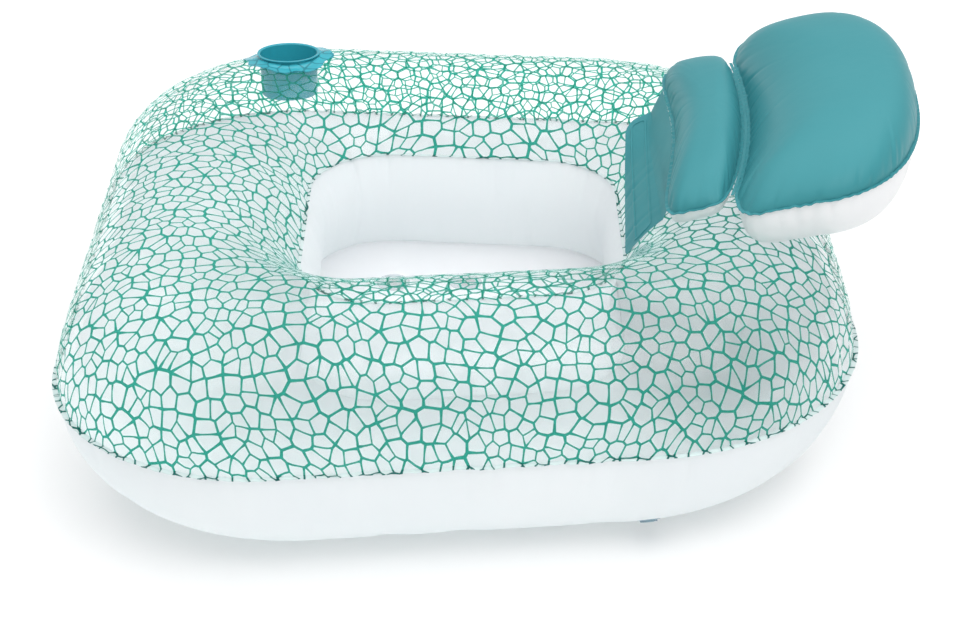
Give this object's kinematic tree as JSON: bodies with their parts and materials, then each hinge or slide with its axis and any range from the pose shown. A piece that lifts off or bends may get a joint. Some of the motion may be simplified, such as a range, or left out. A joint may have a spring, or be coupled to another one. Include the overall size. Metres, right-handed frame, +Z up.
{
  "type": "inflatable pool chair",
  "caption": "Square inflatable pool ring with a sunken seat well, a moulded cup holder in the tube and a folding backrest with a head pillow welded to its inner slope.",
  "frame": {"origin": "on the ground, under the middle of the whole chair's box", "axes": "+X towards the backrest, the knees rest over the -X side; +Y towards the cup holder's side; +Z up"},
  "size_m": [1.1866, 1.1176, 0.502],
  "materials": {
    "clear_printed_vinyl": "glossy clear film with a printed network of teal cells",
    "white_vinyl": "glossy white film",
    "teal_vinyl": "satin teal film",
    "cup_vinyl": "glossy translucent teal moulding",
    "valve_vinyl": "satin translucent moulding"
  },
  "bodies": {
    "root": {"ring_top_sheet": "clear_printed_vinyl", "ring_bottom_sheet": "white_vinyl", "well_wall_sheet": "white_vinyl", "ring_outer_seam": "clear_printed_vinyl", "well_rim_seam": "white_vinyl", "well_floor_seam": "white_vinyl", "seat_floor_sheet": "white_vinyl", "drain_ring_1": "white_vinyl", "drain_ring_2": "white_vinyl", "cup_holder_collar": "cup_vinyl", "cup_holder_cup": "cup_vinyl", "ring_valve_base": "valve_vinyl", "backrest_anchor_flap": "teal_vinyl", "anchor_weld_bead": "teal_vinyl"},
    "backrest": {"backrest_web": "teal_vinyl", "lumbar_top_sheet": "teal_vinyl", "lumbar_bottom_sheet": "white_vinyl", "lumbar_seam": "teal_vinyl", "backrest_crease_weld": "teal_vinyl"},
    "pillow": {"pillow_top_sheet": "teal_vinyl", "pillow_bottom_sheet": "white_vinyl", "pillow_seam": "teal_vinyl", "pillow_valve_base": "valve_vinyl"},
    "ring_valve_stem": {"ring_valve_stem": "valve_vinyl"},
    "ring_valve_cap": {"ring_valve_cap": "valve_vinyl"},
    "ring_valve_check_flap": {"ring_valve_check_flap": "valve_vinyl"},
    "pillow_valve_stem": {"pillow_valve_stem": "valve_vinyl"},
    "pillow_valve_cap": {"pillow_valve_cap": "valve_vinyl"},
    "pillow_valve_check_flap": {"pillow_valve_check_flap": "valve_vinyl"}
  },
  "joints": [
    {"name": "back_fold", "type": "hinge", "parent": "root", "child": "backrest", "pos_m": [0.23723, 0.045, 0.32864], "axis": [0, -1, 0], "range_deg": [0, 100]},
    {"name": "pillow_fold", "type": "hinge", "parent": "backrest", "child": "pillow", "pos_m": [0.33573, 0.0105, 0.395], "axis": [-0.0998, -0.995, 0], "range_deg": [0, 35]},
    {"name": "ring_valve_stem_slide", "type": "slide", "parent": "root", "child": "ring_valve_stem", "axis": [0.0977, -0.5165, -0.8507], "range_m": [0, 0.008]},
    {"name": "ring_valve_cap_hinge", "type": "hinge", "parent": "ring_valve_stem", "child": "ring_valve_cap", "pos_m": [0.21045, -0.43219, 0.02758], "axis": [-0.0589, -0.8563, 0.5131], "range_deg": [0, 150]},
    {"name": "ring_valve_check_hinge", "type": "hinge", "parent": "ring_valve_stem", "child": "ring_valve_check_flap", "pos_m": [0.20379, -0.42325, 0.04172], "axis": [0.0589, 0.8563, -0.5131], "range_deg": [0, 60]},
    {"name": "pillow_valve_stem_slide", "type": "slide", "parent": "pillow", "child": "pillow_valve_stem", "axis": [0.1497, -0.0162, -0.9886], "range_m": [0, 0.008]},
    {"name": "pillow_valve_cap_hinge", "type": "hinge", "parent": "pillow_valve_stem", "child": "pillow_valve_cap", "pos_m": [0.54417, -0.01042, 0.32595], "axis": [-0.1, -0.995, 0.0011], "range_deg": [0, 150]},
    {"name": "pillow_valve_check_hinge", "type": "hinge", "parent": "pillow_valve_stem", "child": "pillow_valve_check_flap", "pos_m": [0.53666, -0.00964, 0.3423], "axis": [0.1, 0.995, -0.0011], "range_deg": [0, 60]}
  ]
}
